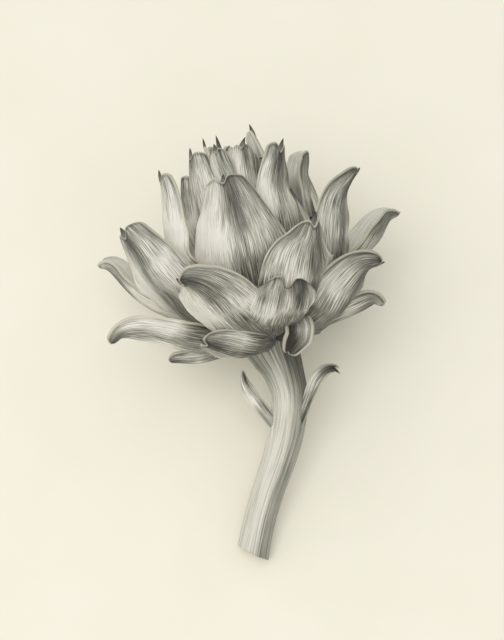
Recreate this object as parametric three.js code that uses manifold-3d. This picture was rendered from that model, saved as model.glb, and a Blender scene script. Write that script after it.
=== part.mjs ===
// A globe artichoke with its leafy stem, cut and laid on its back. Millimetres, +Z up.
//
// It is drawn in the plant's own frame and then laid down. In the plant's frame x runs to the right, y up the
// plant and z out of its front, and the origin is the middle of the head's base. A place on the head is given
// by its azimuth round the head's axis (0 is the front, 90 the right), its distance from the axis and its
// height above the base.

import * as THREE from 'three';
import { mergeVertices } from 'three/addons/utils/BufferGeometryUtils.js';
import Module from 'manifold-3d';

// ---- driving dimensions ----

const HEAD_LEAN = 10;             // degrees that the head leans to the left of the stalk's top
const LYING_TILT = 20;            // degrees that the laid head tips up from the surface
const BASE_HEIGHT = 48.7;         // the middle of the head's base above the surface
const FLESH = { root: 5, middle: 2.8, rim: 1.5 };      // a bract's thickness
const NECK = 15;                  // the stalk belongs to the head down to here below its base
const GAP = 0.3;                  // between the head and the stem
const STALK_SIDES = 18;           // nine ribs and nine furrows
const STALK_RIB = 0.3;            // how far a rib stands out of the stalk
const BROAD = 27;                 // a placed bract wider than this has six strips across it, the others four
const LEAF_STRIPS = 6;            // across a leaf of the stalk, and rows along it
const LEAF_ROWS = 8;
const CORE_SIDES = 16;
const WELD = 0.005;               // corners nearer than this are one
const SEED = 11;

// The fleshy core that the bracts stand on: [distance from the axis, height above the base].
const CORE = [
  [0, -6], [10, -6], [14, -1], [22, 2], [30, 7], [33.5, 15], [34, 25], [32, 36], [28.5, 48], [24, 60],
  [18, 71], [10, 79], [0, 82],
];

// The stalk's middle line, from inside the head down to its cut end: [x, y, z, diameter] in the plant's frame.
const STALK = [
  [0.4, 4, 0, 31], [-0.2, -1.8, 0, 29.5], [1.9, -8, 0, 25], [5, -15.2, 0, 20.6], [7.9, -25, -0.6, 18.2],
  [8.3, -33.6, -1.3, 17.8], [7.2, -43.2, -2.2, 17.4], [5.3, -51.8, -3, 17], [2.4, -61.4, -4, 16.4],
  [-1.9, -73.9, -5.3, 15.8], [-5.3, -85.4, -6.2, 15.6], [-7.7, -96, -6.5, 15.8], [-9.9, -108, -6.6, 16.2],
];
const CUT_END = { point: [-8.6, -104, 0], slope: 26 };          // degrees that the cut slants

// Every bract is a run of stations along its midline from the root to the tip. A station is
// [azimuth, distance from the axis, height, width]. cup is how far the two sides bend in, in degrees; roll
// turns the blade about its midline from root to tip; round is how far the corners of the tip are rounded
// back; notch is the dent in the tip, which holds the spine; groove is the fold that runs down from it, or a
// sharp ridge where it is below zero; keel is how far the middle of the back stands out; flare is how far the
// left edge is turned outward, over a stretch of the length; torn is how deep a withered tip is torn. spine is
// how tall the spine stands, girth how broad it is and lean how far its tip leans to one side.
const PLAIN = {
  cup: 50, roll: [0, 0], round: 5, notch: 3, notchWidth: 0.22, groove: 0, grooveFrom: 0.45, keel: 1.5,
  flare: 0, flareFrom: 0.2, flareTo: 0.7, torn: 0, spine: 3.5, girth: 1, lean: 0.15,
};
const CUP_EASING = 0.15;          // how much flatter a bract is at its tip than at its root
const FOLD_WIDTH = 0.14;          // of the groove, as a share of half the bract's width
const KEEL_WIDTH = 0.45;          // of the keel, likewise
const FLARE_EASING = 0.2;         // of the length, over which a turned edge comes and goes
const TORN_TEETH = 3;             // points that a torn tip is left with

const PLACED_BRACTS = {
  collar_left: {
    stations: [[-80, 16, -2, 10], [-84, 34, -3, 12], [-88, 46, -2, 10], [-90, 51, -2, 5]],
    roll: [20, 30], spine: 0,
  },
  collar_front: {
    stations: [[-14, 14, -3, 16], [-26, 34, -3, 22], [-35, 44, 1, 18], [-41, 50, 5, 8]],
    cup: 54, roll: [15, 30],
  },
  collar_right: {
    stations: [[73, 16, 2, 12], [72, 32, 5, 16], [71, 44, 8, 17], [74, 52, 10, 13], [78, 56, 7, 7]],
    roll: [-12, -20], round: 3, notch: 2, spine: 2.5,
  },
  collar_curled: {
    stations: [
      [20, 14, 0, 14], [27, 26, 4, 16], [25, 29, 1, 16], [22, 28, -2, 15],
      [18, 25, -6, 10], [14, 22, -8, 5],
    ],
    cup: 70, roll: [10, 25], round: 3, notch: 1, keel: 0, spine: 0,
  },
  low_left: {
    stations: [
      [-72, 18, 0, 20], [-68, 44, 5, 28], [-69, 62, 12.5, 23], [-72, 72, 14.5, 16],
      [-75, 78, 11, 8],
    ],
    cup: 46, roll: [15, 28], round: 3, spine: 2.5,
  },
  low_middle: {
    stations: [
      [-22, 17, 0, 32], [-25, 38, 8, 42], [-27, 56, 23, 40], [-30, 64, 31, 26],
      [-34, 68, 34, 10],
    ],
    round: 3.5, girth: 1.6, flare: 2, flareFrom: 0.3, flareTo: 0.85,
  },
  low_front: {
    stations: [[7, 18, 3, 36], [7, 36, 5, 40], [9, 48, 10, 38], [12, 53, 20, 34], [14, 52, 28, 26]],
    cup: 68, round: 9, notch: 5.5, notchWidth: 0.17, groove: 4, grooveFrom: 0.1, keel: -2.5,
    spine: 0,
  },
  low_right: {
    stations: [
      [54, 18, 1, 20], [50, 38, 8, 31], [50, 50, 18, 31], [56, 58, 26, 20],
      [61, 65, 27, 9],
    ],
    roll: [-8, -18],
  },
  spread_far_left: {
    stations: [
      [-84, 20, 8, 18], [-90, 44, 19, 24], [-96, 61, 33, 27], [-99, 71, 47, 22],
      [-99, 78, 50, 9],
    ],
    roll: [0, -8], round: 3, spine: 2.5,
  },
  spread_left: {
    stations: [
      [-68, 20, 8, 22], [-63, 38, 17, 31], [-59, 56, 36, 39], [-61, 64, 54, 27],
      [-64, 66, 62, 16],
    ],
    cup: 45, roll: [8, 16], notch: 4.5, spine: 5, flare: 5, flareFrom: 0.2, flareTo: 0.75,
    lean: -0.1, girth: 1.7,
  },
  spread_front: {
    stations: [
      [26, 19, 6, 30], [23, 38, 16, 40], [24, 51, 32, 39], [27, 54, 43, 23],
      [28, 57, 51, 9],
    ],
    notch: 3, groove: 0.5, keel: 2.5, spine: 6, girth: 1.3,
  },
  spread_far_right: {
    stations: [
      [88, 19, 10, 20], [97, 42, 26, 28], [101, 58, 40, 32], [103, 66, 47, 26],
      [103, 74, 50, 9],
    ],
    cup: 62, roll: [3, 8],
  },
  resting_left: {
    stations: [
      [203, 20, 8, 18], [203, 42, 16, 32], [203, 59, 27, 33], [203, 68, 39, 26],
      [203, 70, 50, 17], [203, 68, 59, 9],
    ],
  },
  resting_right: {
    stations: [
      [157, 20, 8, 18], [157, 42, 16, 32], [157, 60, 27, 33], [157, 71, 39, 26],
      [157, 74, 50, 17], [157, 72, 59, 9],
    ],
  },
  upright_front: {
    stations: [
      [-16, 20, 14, 34], [-14, 36, 28, 50], [-12.5, 43, 44, 51], [-12.5, 44, 58, 40],
      [-13, 43, 69, 28.5], [-14, 42, 78, 18],
    ],
    cup: 60, round: 3, notch: 3.5, groove: 1.5, keel: 1.5, lean: 0.1,
  },
  upright_right: {
    stations: [
      [56, 20, 10, 18], [51, 40, 22, 23], [47, 50, 42, 24], [54, 51, 59, 17],
      [61, 54, 67, 10], [66, 58, 72, 5],
    ],
    roll: [-8, -16],
  },
  upper_far_left: {
    stations: [[-88, 18, 34, 13], [-86, 28, 54, 16], [-86, 29, 69, 16], [-86, 27, 84, 12]],
    roll: [20, 20], round: 5, notch: 1, spine: 0,
  },
  upper_left: {
    stations: [
      [-58, 20, 28, 16], [-60, 43, 42, 20], [-59, 45, 56, 22], [-57, 44, 68, 16],
      [-55, 45, 77, 14], [-55, 46, 85, 9],
    ],
    round: 3, notch: 4, spine: 5, lean: -0.1,
  },
  upper_middle: {
    stations: [
      [-48, 16, 36, 20], [-55, 25, 58, 27], [-57, 26, 73, 27], [-58, 26, 84, 22],
      [-60, 25, 93, 16],
    ],
    cup: 62, round: 4, spine: 5.5, lean: -0.2,
  },
  upper_right: {
    stations: [
      [27, 18, 24, 22], [25, 31, 42, 27], [25, 32, 59, 25], [27, 30, 70, 19],
      [34, 28, 80, 14], [41, 29, 90, 12],
    ],
    round: 4, notch: 4.5, spine: 6, lean: 0.2,
  },
  upper_far_right: {
    stations: [
      [101, 21, 33, 12], [100, 29, 50, 13], [101, 30, 59, 19], [102, 30, 67, 25],
      [101, 30, 75, 28], [101, 32, 81, 27], [100, 33, 87, 22],
    ],
    cup: 75, roll: [0, 4], round: 4, notch: 4, notchWidth: 0.3, keel: 0, spine: 0,
  },
  bud_front: {
    stations: [
      [3, 14, 46, 13], [2, 22, 62, 16], [0, 22, 78, 14.5], [2, 20, 86, 13],
      [4, 18, 93, 10],
    ],
    round: 4, spine: 5.5, lean: 0.3,
  },
  bud_front_left: {
    stations: [
      [-22, 15, 55, 9], [-19, 23, 69, 12], [-19, 27, 79, 12], [-21, 28, 86, 11],
      [-23, 26, 92, 7],
    ],
    spine: 5, lean: -0.1,
  },
  bud_left: {
    stations: [[-107, 10, 52, 14], [-106, 15, 76, 22], [-113, 15, 88, 20], [-113, 16, 97, 13]],
    spine: 6.5,
  },
  bud_back_left: {
    stations: [[-138, 6, 56, 12], [-140, 10, 79, 18], [-140, 12, 89, 18], [-138, 12, 96, 14]],
    spine: 8,
  },
  bud_back_right: {
    stations: [
      [110, 8, 54, 12], [120, 12, 74, 14], [130, 12, 87, 11], [135, 11, 96, 8],
      [143, 10, 101, 4],
    ],
    round: 4, spine: 5, lean: -0.2,
  },
};

// The rest of the bracts stand round the back in whorls: the collar, the low, the spreading and the upright
// rings, the bud and its heart. Each whorl has one midline of [distance from the axis, height, width], and a
// bract at each of its azimuths, moved a little at random.
const WHORLS = [
  {
    azimuths: [150, 175, 205],
    midline: [[16, 0, 10], [29, -1, 16], [40, 0, 14], [46, -1, 6]],
    spine: 0,
  },
  {
    azimuths: [128, 181, 234],
    midline: [[19, 2, 16], [37, 8, 30], [49, 15, 28], [55, 21, 10]],
  },
  {
    azimuths: [124, 180, 226],
    midline: [[23, 14, 18], [37, 30, 32], [45, 46, 32], [48, 57, 22], [50, 64, 11]],
  },
  {
    azimuths: [118, 148, 182, 219],
    midline: [[23, 24, 18], [33, 44, 32], [34, 61, 30], [32, 75, 20], [33, 84, 13]],
  },
  {
    azimuths: [165, 205, 250],
    midline: [[20, 40, 14], [26, 56, 25], [23, 70, 22], [21, 87, 12]],
  },
  {
    azimuths: [35, 155, 275],
    midline: [[4, 56, 10], [9, 74, 16], [8, 86, 13], [3, 94, 5]],
  },
];

// The two small leaves on the stalk: [x, y, z, width] from the root, sunk in the stalk, to the tip.
const LEAF_FLESH = { root: 2.4, middle: 1.6, rim: 1 };
const STEM_LEAVES = {
  slender: {
    stations: [
      [3, -44, 0, 5], [-4.4, -34.5, 3, 6.5], [-9.4, -28, 4.5, 7],
      [-13, -22, 4, 5.5], [-14.2, -15.8, 2.5, 1.6],
    ],
    cup: 35,
  },
  torn: {
    stations: [
      [12, -42, 1, 5], [18.6, -25.5, 5, 5.5], [21.4, -19, 6.5, 5.5],
      [25.4, -15.2, 7, 5], [29.8, -14.6, 6, 5], [32.4, -17, 4, 5],
    ],
    cup: 40, torn: 4,
  },
};

// ---- numbers ----

const radians = THREE.MathUtils.degToRad;
const lean = radians(HEAD_LEAN);
const AXIS = new THREE.Vector3(-Math.sin(lean), Math.cos(lean), 0);
const ACROSS = new THREE.Vector3(Math.cos(lean), Math.sin(lean), 0);
const FRONT = new THREE.Vector3(0, 0, 1);

function smoothstep(from, to, x) {
  return THREE.MathUtils.smoothstep(x, from, to);
}

/** A repeatable source of numbers from -1 to 1. */
function randomSource(seed) {
  let state = seed;
  return () => {
    state = (state * 1664525 + 1013904223) % 4294967296;
    return (2 * state) / 4294967296 - 1;
  };
}

/** The direction out of the head's axis at an azimuth in degrees. */
function outward(azimuth) {
  const a = radians(azimuth);
  return ACROSS.clone().multiplyScalar(Math.sin(a)).addScaledVector(FRONT, Math.cos(a));
}

/** The direction round the head at an azimuth in degrees. */
function sideways(azimuth) {
  const a = radians(azimuth);
  return ACROSS.clone().multiplyScalar(Math.cos(a)).addScaledVector(FRONT, -Math.sin(a));
}

// ---- the lie of the plant on the surface ----

const lying = new THREE.Matrix4().makeRotationX(radians(LYING_TILT));
lying.setPosition(0, 0, BASE_HEIGHT);

// ---- solids ----

const wasm = await Module();
wasm.setup();

/** A solid from loose corners and triangles in the plant's frame, laid down. */
function solid(corners, triangles) {
  const geometry = new THREE.BufferGeometry();
  geometry.setAttribute('position', new THREE.Float32BufferAttribute(corners.flatMap((c) => c.toArray()), 3));
  geometry.setIndex(triangles);
  geometry.applyMatrix4(lying);
  return solidOf(geometry);
}

/** A solid from a closed geometry. */
function solidOf(geometry) {
  geometry.deleteAttribute('normal');
  geometry.deleteAttribute('uv');
  const merged = mergeVertices(geometry, WELD);
  return new wasm.Manifold(new wasm.Mesh({
    numProp: 3,
    vertProperties: new Float32Array(merged.attributes.position.array),
    triVerts: new Uint32Array(merged.index.array),
  }));
}

/** The outer surface of a solid, with sealed hollows filled and loose scraps dropped. */
function surfaceOf(manifold) {
  const mesh = manifold.getMesh();
  const geometry = new THREE.BufferGeometry();
  geometry.setAttribute('position', new THREE.BufferAttribute(new Float32Array(mesh.vertProperties), 3));
  geometry.setIndex(Array.from(mesh.triVerts));
  const welded = mergeVertices(geometry, WELD);
  const index = welded.index.array;
  const whole = [];
  for (let t = 0; t < index.length; t += 3) {
    const [a, b, c] = index.slice(t, t + 3);
    if (a !== b && b !== c && c !== a) {
      whole.push(a, b, c);
    }
  }
  welded.setIndex(largestShell(whole, welded.attributes.position.count));
  return welded;
}

/** The triangles of the shell that has most of them: every other shell is a sealed hollow or a scrap. */
function largestShell(index, vertexCount) {
  const parent = Array.from({ length: vertexCount }, (_, i) => i);
  const rootOf = (i) => {
    while (parent[i] !== i) {
      parent[i] = parent[parent[i]];
      i = parent[i];
    }
    return i;
  };
  for (let t = 0; t < index.length; t += 3) {
    parent[rootOf(index[t])] = rootOf(index[t + 1]);
    parent[rootOf(index[t + 1])] = rootOf(index[t + 2]);
  }
  const shells = new Map();
  for (let t = 0; t < index.length; t += 3) {
    const root = rootOf(index[t]);
    if (!shells.has(root)) {
      shells.set(root, []);
    }
    shells.get(root).push(index[t], index[t + 1], index[t + 2]);
  }
  return [...shells.values()].sort((a, b) => b.length - a.length)[0];
}

// ---- blades: bracts and leaves ----

const EDGE_CROWDING = 0.6;        // how much a blade's strips are narrower toward its two edges
const TIP_CROWDING = 0.9;         // below 1, its rows are closer together toward its tip

/** The midline of a blade with its width, and its directions along, across and out of its inner face. */
function bladeRun(points, widths, lateralAt, roll) {
  const path = new THREE.CatmullRomCurve3(points, false, 'catmullrom');
  const widthCurve = new THREE.CatmullRomCurve3(
    widths.map((width) => new THREE.Vector3(width, 0, 0)), false, 'catmullrom');
  const at = (s) => {
    const t = path.getUtoTmapping(THREE.MathUtils.clamp(s, 0, 1));
    const along = path.getTangent(t);
    const across = lateralAt(t, along);
    across.addScaledVector(along, -across.dot(along)).normalize();
    across.applyAxisAngle(along, radians(THREE.MathUtils.lerp(roll[0], roll[1], s)));
    const inward = new THREE.Vector3().crossVectors(along, across);
    return { middle: path.getPoint(t), width: widthCurve.getPoint(t).x, along, across, inward };
  };
  return { at, length: path.getLength() };
}

/** How far along the blade its end lies at q, which runs from -1 to 1 across it. */
function bladeEnd(shape, length, q) {
  const rounded = shape.round * (1 - Math.sqrt(Math.max(0, 1 - q * q)));
  const dented = shape.notch * Math.exp(-((q / shape.notchWidth) ** 2));
  const torn = shape.torn * Math.abs(Math.sin((TORN_TEETH / 2) * Math.PI * q));
  return 1 - (rounded + dented + torn) / length;
}

/** A point on the middle of the blade's flesh and the direction into its inner face. */
function bladePoint(run, shape, s, q) {
  const { middle, width, across, inward } = run.at(s);
  const bend = radians(shape.cup) * (1 - CUP_EASING * s);
  const reach = width / 2 / bend;
  const fold = shape.groove * Math.exp(-((q / FOLD_WIDTH) ** 2)) * smoothstep(shape.grooveFrom, 0.95, s);
  const keel = shape.keel * Math.exp(-((q / KEEL_WIDTH) ** 2)) * smoothstep(0, 0.3, s);
  const point = middle.clone().addScaledVector(across, reach * Math.sin(q * bend));
  const flareRise = smoothstep(shape.flareFrom, shape.flareFrom + FLARE_EASING, s);
  const flareFall = smoothstep(shape.flareTo - FLARE_EASING, shape.flareTo, s);
  const flare = shape.flare * smoothstep(0.5, 1, -q) * flareRise * (1 - flareFall);
  point.addScaledVector(inward, reach * (1 - Math.cos(q * bend)) + fold - keel - flare);
  const normal = inward.clone().multiplyScalar(Math.cos(q * bend));
  normal.addScaledVector(across, -Math.sin(q * bend)).normalize();
  return { point, normal };
}

/** The thickness of the flesh: thick at the root, thin at the rim. */
function bladeThickness(flesh, s, j, q) {
  const belly = (flesh.middle - flesh.rim) * (1 - q * q) * (1 - smoothstep(0.75, 1, j));
  const root = (flesh.root - flesh.middle) * (1 - smoothstep(0, 0.45, s)) * (1 - 0.6 * q * q);
  return flesh.rim + belly + root;
}

/** A closed blade: an outer and an inner grid of corners, split alike, and the rim between them. */
function bladeSolid(run, shape, flesh, columns, rows) {
  const outer = [];
  const inner = [];
  for (let i = 0; i <= rows; i++) {
    for (let k = 0; k <= columns; k++) {
      const even = -1 + (2 * k) / columns;
      const q = THREE.MathUtils.lerp(even, Math.sin((Math.PI / 2) * even), EDGE_CROWDING);
      const j = (i / rows) ** TIP_CROWDING;
      const s = j * bladeEnd(shape, run.length, q);
      const { point, normal } = bladePoint(run, shape, s, q);
      const half = bladeThickness(flesh, s, j, q) / 2;
      outer.push(point.clone().addScaledVector(normal, -half));
      inner.push(point.clone().addScaledVector(normal, half));
    }
  }
  const stride = columns + 1;
  const triangles = [];
  const quad = (a, b, c, d) => triangles.push(a, b, c, a, c, d);
  for (let i = 0; i < rows; i++) {
    for (let k = 0; k < columns; k++) {
      const corner = i * stride + k;
      const opposite = corner + outer.length;
      quad(corner, corner + 1, corner + 1 + stride, corner + stride);
      quad(opposite + 1 + stride, opposite + 1, opposite, opposite + stride);
    }
  }
  const rim = [];
  for (let k = 0; k < columns; k++) {
    rim.push(k);
  }
  for (let i = 0; i < rows; i++) {
    rim.push(i * stride + columns);
  }
  for (let k = columns; k > 0; k--) {
    rim.push(rows * stride + k);
  }
  for (let i = rows; i > 0; i--) {
    rim.push(i * stride);
  }
  rim.forEach((a, n) => {
    const b = rim[(n + 1) % rim.length];
    quad(a, a + outer.length, b + outer.length, b);
  });
  return solid([...outer, ...inner], triangles);
}

// A spine is three-sided: [share of its height, radius] of its foot and its waist.
const SPINE_RINGS = [[0.1, 1.6], [0.55, 1.1]];
const SPINE_HOOK = 0.12;          // how far its tip bends inward, as a share of its height

/** The short, hooked spine that stands in the notch of a bract. */
function spineSolid(run, shape) {
  const s = 1 - (shape.notch + 1) / run.length;
  const { point, normal } = bladePoint(run, shape, s, 0);
  const { along, across } = run.at(s);
  const height = shape.spine + shape.notch * 0.4;
  const middleAt = (share) => {
    const bent = height * share * share;
    const middle = point.clone().addScaledVector(along, share * height);
    return middle.addScaledVector(across, shape.lean * bent).addScaledVector(normal, SPINE_HOOK * bent);
  };
  const corners = [point.clone().addScaledVector(along, -1)];
  for (const [share, radius] of SPINE_RINGS) {
    for (let k = 0; k < 3; k++) {
      const angle = (2 * Math.PI * k) / 3;
      const corner = middleAt(share);
      corner.addScaledVector(across, shape.girth * radius * Math.sin(angle));
      corner.addScaledVector(normal, radius * Math.cos(angle));
      corners.push(corner);
    }
  }
  corners.push(middleAt(1));
  const triangles = [];
  for (let k = 0; k < 3; k++) {
    const a = 1 + k;
    const b = 1 + ((k + 1) % 3);
    triangles.push(0, a, b, a, b + 3, b, a, a + 3, b + 3, a + 3, 7, b + 3);
  }
  return solid(corners, triangles);
}

// ---- the head ----

/** Every bract of the head: the placed ones, then the whorls round the back. */
function allBracts() {
  const bracts = Object.values(PLACED_BRACTS).map((bract) => {
    const widest = Math.max(...bract.stations.map((station) => station[3]));
    return { ...PLAIN, ...bract, strips: widest > BROAD ? 6 : 4 };
  });
  const random = randomSource(SEED);
  for (const { azimuths, midline, ...shape } of WHORLS) {
    for (const azimuth of azimuths) {
      const turn = 3 * random();
      const spread = 1.5 * random();
      const lift = 1.5 * random();
      const twist = 6 * random();
      const stations = midline.map(([radius, height, width], n) => {
        const share = n / (midline.length - 1);
        return [azimuth + turn, radius + spread * share, height + lift * share, width];
      });
      bracts.push({ ...PLAIN, ...shape, roll: [0, twist], stations, strips: 4 });
    }
  }
  return bracts;
}

/** The midline of one bract round the head. */
function bractRun(bract) {
  const points = bract.stations.map(([azimuth, radius, height]) => {
    return outward(azimuth).multiplyScalar(radius).addScaledVector(AXIS, height);
  });
  const widths = bract.stations.map((station) => station[3]);
  const azimuths = new THREE.CatmullRomCurve3(
    bract.stations.map(([azimuth]) => new THREE.Vector3(azimuth, 0, 0)), false, 'catmullrom');
  return bladeRun(points, widths, (t) => sideways(azimuths.getPoint(t).x), bract.roll);
}

/** The core: a turned solid on the head's axis. */
function coreSolid() {
  const profile = CORE.map(([radius, height]) => new THREE.Vector2(radius, height));
  const geometry = new THREE.LatheGeometry(profile, CORE_SIDES);
  geometry.rotateZ(lean);
  geometry.applyMatrix4(lying);
  return solidOf(geometry);
}

// ---- the stalk ----

/** The whole ribbed stalk, from inside the head to its cut end. */
function stalkSolid() {
  const path = new THREE.CatmullRomCurve3(
    STALK.map(([x, y, z]) => new THREE.Vector3(x, y, z)), false, 'catmullrom');
  const girth = new THREE.CatmullRomCurve3(
    STALK.map((station) => new THREE.Vector3(station[3], 0, 0)), false, 'catmullrom');
  const rings = 2 * (STALK.length - 1);
  const corners = [];
  for (let i = 0; i <= rings; i++) {
    const t = i / rings;
    const across = new THREE.Vector3().crossVectors(FRONT, path.getTangent(t)).normalize();
    const front = new THREE.Vector3().crossVectors(path.getTangent(t), across);
    for (let k = 0; k < STALK_SIDES; k++) {
      const angle = (2 * Math.PI * k) / STALK_SIDES;
      const radius = girth.getPoint(t).x / 2 + (k % 2 ? -STALK_RIB : 0);
      const corner = path.getPoint(t).addScaledVector(across, radius * Math.cos(angle));
      corners.push(corner.addScaledVector(front, radius * Math.sin(angle)));
    }
  }
  const first = corners.push(path.getPoint(0)) - 1;
  const last = corners.push(path.getPoint(1)) - 1;
  const triangles = [];
  for (let k = 0; k < STALK_SIDES; k++) {
    const next = (k + 1) % STALK_SIDES;
    triangles.push(first, next, k);
    triangles.push(last, rings * STALK_SIDES + k, rings * STALK_SIDES + next);
    for (let i = 0; i < rings; i++) {
      const a = i * STALK_SIDES + k;
      const b = i * STALK_SIDES + next;
      triangles.push(a, b, b + STALK_SIDES, a, b + STALK_SIDES, a + STALK_SIDES);
    }
  }
  return solid(corners, triangles);
}

/** One of the small leaves on the stalk. */
function stemLeafSolid(leaf) {
  const shape = { ...PLAIN, round: 0, notch: 0, ...leaf };
  const points = leaf.stations.map(([x, y, z]) => new THREE.Vector3(x, y, z));
  const widths = leaf.stations.map((station) => station[3]);
  const run = bladeRun(points, widths, (t, along) => new THREE.Vector3().crossVectors(along, FRONT), [0, 0]);
  return bladeSolid(run, shape, LEAF_FLESH, LEAF_STRIPS, LEAF_ROWS);
}

/** A large block above or below a plane through a point, tilted about the plant's z axis. */
function block(point, tilt, side) {
  const size = 400;
  const geometry = new THREE.BoxGeometry(size, size, size);
  geometry.translate(0, (side * size) / 2, 0);
  geometry.rotateZ(radians(tilt));
  geometry.translate(...point);
  geometry.applyMatrix4(lying);
  return solidOf(geometry);
}

/** The ground under the plant, which flattens what presses on it. */
function ground() {
  const size = 600;
  const depth = 50;
  const geometry = new THREE.BoxGeometry(size, size, depth);
  geometry.translate(0, 0, -depth / 2);
  return solidOf(geometry);
}

// ---- assembly ----

const stalk = stalkSolid();
const neckPoint = AXIS.clone().multiplyScalar(-NECK).toArray();
const stemPoint = AXIS.clone().multiplyScalar(-NECK - GAP).toArray();

let head = coreSolid().add(stalk.intersect(block(neckPoint, HEAD_LEAN, 1)));
for (const bract of allBracts()) {
  const run = bractRun(bract);
  head = head.add(bladeSolid(run, bract, FLESH, bract.strips, bract.stations.length));
  if (bract.spine > 0) {
    head = head.add(spineSolid(run, bract));
  }
}

let stem = stalk.intersect(block(stemPoint, HEAD_LEAN, -1));
stem = stem.intersect(block(CUT_END.point, -CUT_END.slope, 1));
for (const leaf of Object.values(STEM_LEAVES)) {
  stem = stem.add(stemLeafSolid(leaf));
}

const green = new THREE.MeshStandardMaterial({ color: 0x8a8a7d, roughness: 0.62, metalness: 0 });
const stalkGreen = new THREE.MeshStandardMaterial({ color: 0x9c9b8f, roughness: 0.7, metalness: 0 });

const headMesh = new THREE.Mesh(surfaceOf(head.subtract(ground())), green);
headMesh.name = 'head';
const stemMesh = new THREE.Mesh(surfaceOf(stem.subtract(ground())), stalkGreen);
stemMesh.name = 'stem';

const artichoke = new THREE.Group();
artichoke.add(headMesh, stemMesh);
const middle = new THREE.Box3().setFromObject(artichoke).getCenter(new THREE.Vector3());
artichoke.position.set(-middle.x, -middle.y, 0);

export default artichoke;
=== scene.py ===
# A fresh globe artichoke on a piece of its ribbed stalk, cut and laid on its back on a pale table. Thick
# bracts grow in rings out of the head's fleshy base, each with fine fibres and a pale rim, and most with a
# small dark spine in a notch. The whole plant is in silvery, faintly warm greys.

import math

import bpy
import numpy as np
from mathutils import Matrix, Vector


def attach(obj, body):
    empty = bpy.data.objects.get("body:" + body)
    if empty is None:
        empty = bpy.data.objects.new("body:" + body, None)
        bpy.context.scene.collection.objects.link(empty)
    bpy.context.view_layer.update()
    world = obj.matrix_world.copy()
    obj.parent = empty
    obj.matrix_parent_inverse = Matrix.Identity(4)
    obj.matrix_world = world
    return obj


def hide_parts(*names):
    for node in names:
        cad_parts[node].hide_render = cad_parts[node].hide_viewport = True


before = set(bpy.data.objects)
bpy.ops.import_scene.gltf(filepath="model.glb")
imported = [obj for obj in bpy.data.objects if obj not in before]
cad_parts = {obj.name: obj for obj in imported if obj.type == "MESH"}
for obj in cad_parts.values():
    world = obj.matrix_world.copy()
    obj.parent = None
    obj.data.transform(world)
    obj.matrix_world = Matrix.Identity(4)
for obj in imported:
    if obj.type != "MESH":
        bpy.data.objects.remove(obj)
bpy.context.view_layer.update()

# ---- The stalk ----
# The flower stalk, some 17 mm thick, solid, faintly downy, and ribbed where its bundles of fibre run. It is
# one growth with the head, swells into the head's base, and was cut from the plant with a knife.

# The plant is drawn upright and then laid down. Upright, x runs to the right, y up the plant and z out of
# its front, in millimetres from the middle of the head's base.
MM = 0.001
LYING_TILT = 20                               # degrees that the laid head tips up from the table
HEAD_BASE = Vector((10.63, -0.01, 48.7))      # where the middle of the head's base lies, in millimetres
FRONT = np.array([0.0, 0.0, 1.0])
plant = Matrix.Translation(HEAD_BASE * MM) @ Matrix.Rotation(math.radians(LYING_TILT), 4, "X")
chance = np.random.default_rng(5)             # what differs from one bract to the next

# The middle line from inside the head down past the cut, as [x, y, z, diameter].
STALK = [
    [0.4, 4, 0, 31], [-0.2, -1.8, 0, 29.5], [1.9, -8, 0, 25], [5, -15.2, 0, 20.6], [7.9, -25, -0.6, 18.2],
    [8.3, -33.6, -1.3, 17.8], [7.2, -43.2, -2.2, 17.4], [5.3, -51.8, -3, 17], [2.4, -61.4, -4, 16.4],
    [-1.9, -73.9, -5.3, 15.8], [-5.3, -85.4, -6.2, 15.6], [-7.7, -96, -6.5, 15.8], [-9.9, -108, -6.6, 16.2],
]
CUT_MIDDLE = np.array([-8.6, -104, 0])
CUT_SLOPE = math.radians(26)
STALK_RIBS = 9
RIB_HEIGHT = 0.3
FINE_RIBS = [(23, 0.056, 1), (37, 0.04, 4), (54, 0.032, 0)]      # [how many, how high, where they start]
CHANNEL_DEPTH = 1.1                           # of the one broad channel down the right side
CHANNEL_AT, CHANNEL_WIDTH = math.radians(36), math.radians(24)
RIND = 0.45                                   # of green skin round the pith, as the cut shows it
CLOSED_IN, CLOSED_UP = 0.6, 1                 # where it is closed off: under the skin and above the cut
GRAIN_RADIUS = 8.5                            # of the skin's pattern, which runs round the stalk
SIDES, RINGS = 144, 220


def laid(points):
    """Points of the upright plant as points of the laid one, in metres. None goes through the table."""
    places = np.asarray(points) @ np.array(plant.to_3x3()).T * MM + np.array(plant.translation)
    places[:, 2] = np.maximum(places[:, 2], 0)
    return places


def smooth_run(stations, t):
    """The smooth curve through evenly spaced stations, at each t from 0 to 1."""
    p = np.asarray(stations, float)
    p = np.concatenate([[2 * p[0] - p[1]], p, [2 * p[-1] - p[-2]]])
    place = np.clip(t, 0, 1) * (len(p) - 3)
    n = np.minimum(place.astype(int), len(p) - 4)
    u = (place - n).reshape(n.shape + (1,) * (p.ndim - 1))
    before, start, end, after = p[n], p[n + 1], p[n + 2], p[n + 3]
    rise = (end - before) * u
    bow = (2 * before - 5 * start + 4 * end - after) * u ** 2
    turn = (3 * start - before - 3 * end + after) * u ** 3
    return start + (rise + bow + turn) / 2


def smoothstep(start, end, x):
    """0 up to start, 1 from end on, and a smooth step between."""
    share = np.clip((x - start) / (end - start), 0, 1)
    return share * share * (3 - 2 * share)


def unit(vectors):
    """The vectors, each made one long."""
    return vectors / np.linalg.norm(vectors, axis=-1, keepdims=True)


def tube_faces(rings, sides, first, last):
    """Quads round a tube of rings, closed at its two ends on the points numbered first and last."""
    faces = []
    for k in range(sides):
        n = (k + 1) % sides
        faces.append((first, n, k))
        faces.append((last, (rings - 1) * sides + k, (rings - 1) * sides + n))
        for i in range(rings - 1):
            a, b = i * sides + k, i * sides + n
            faces.append((a, b, b + sides, a + sides))
    return faces


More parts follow.
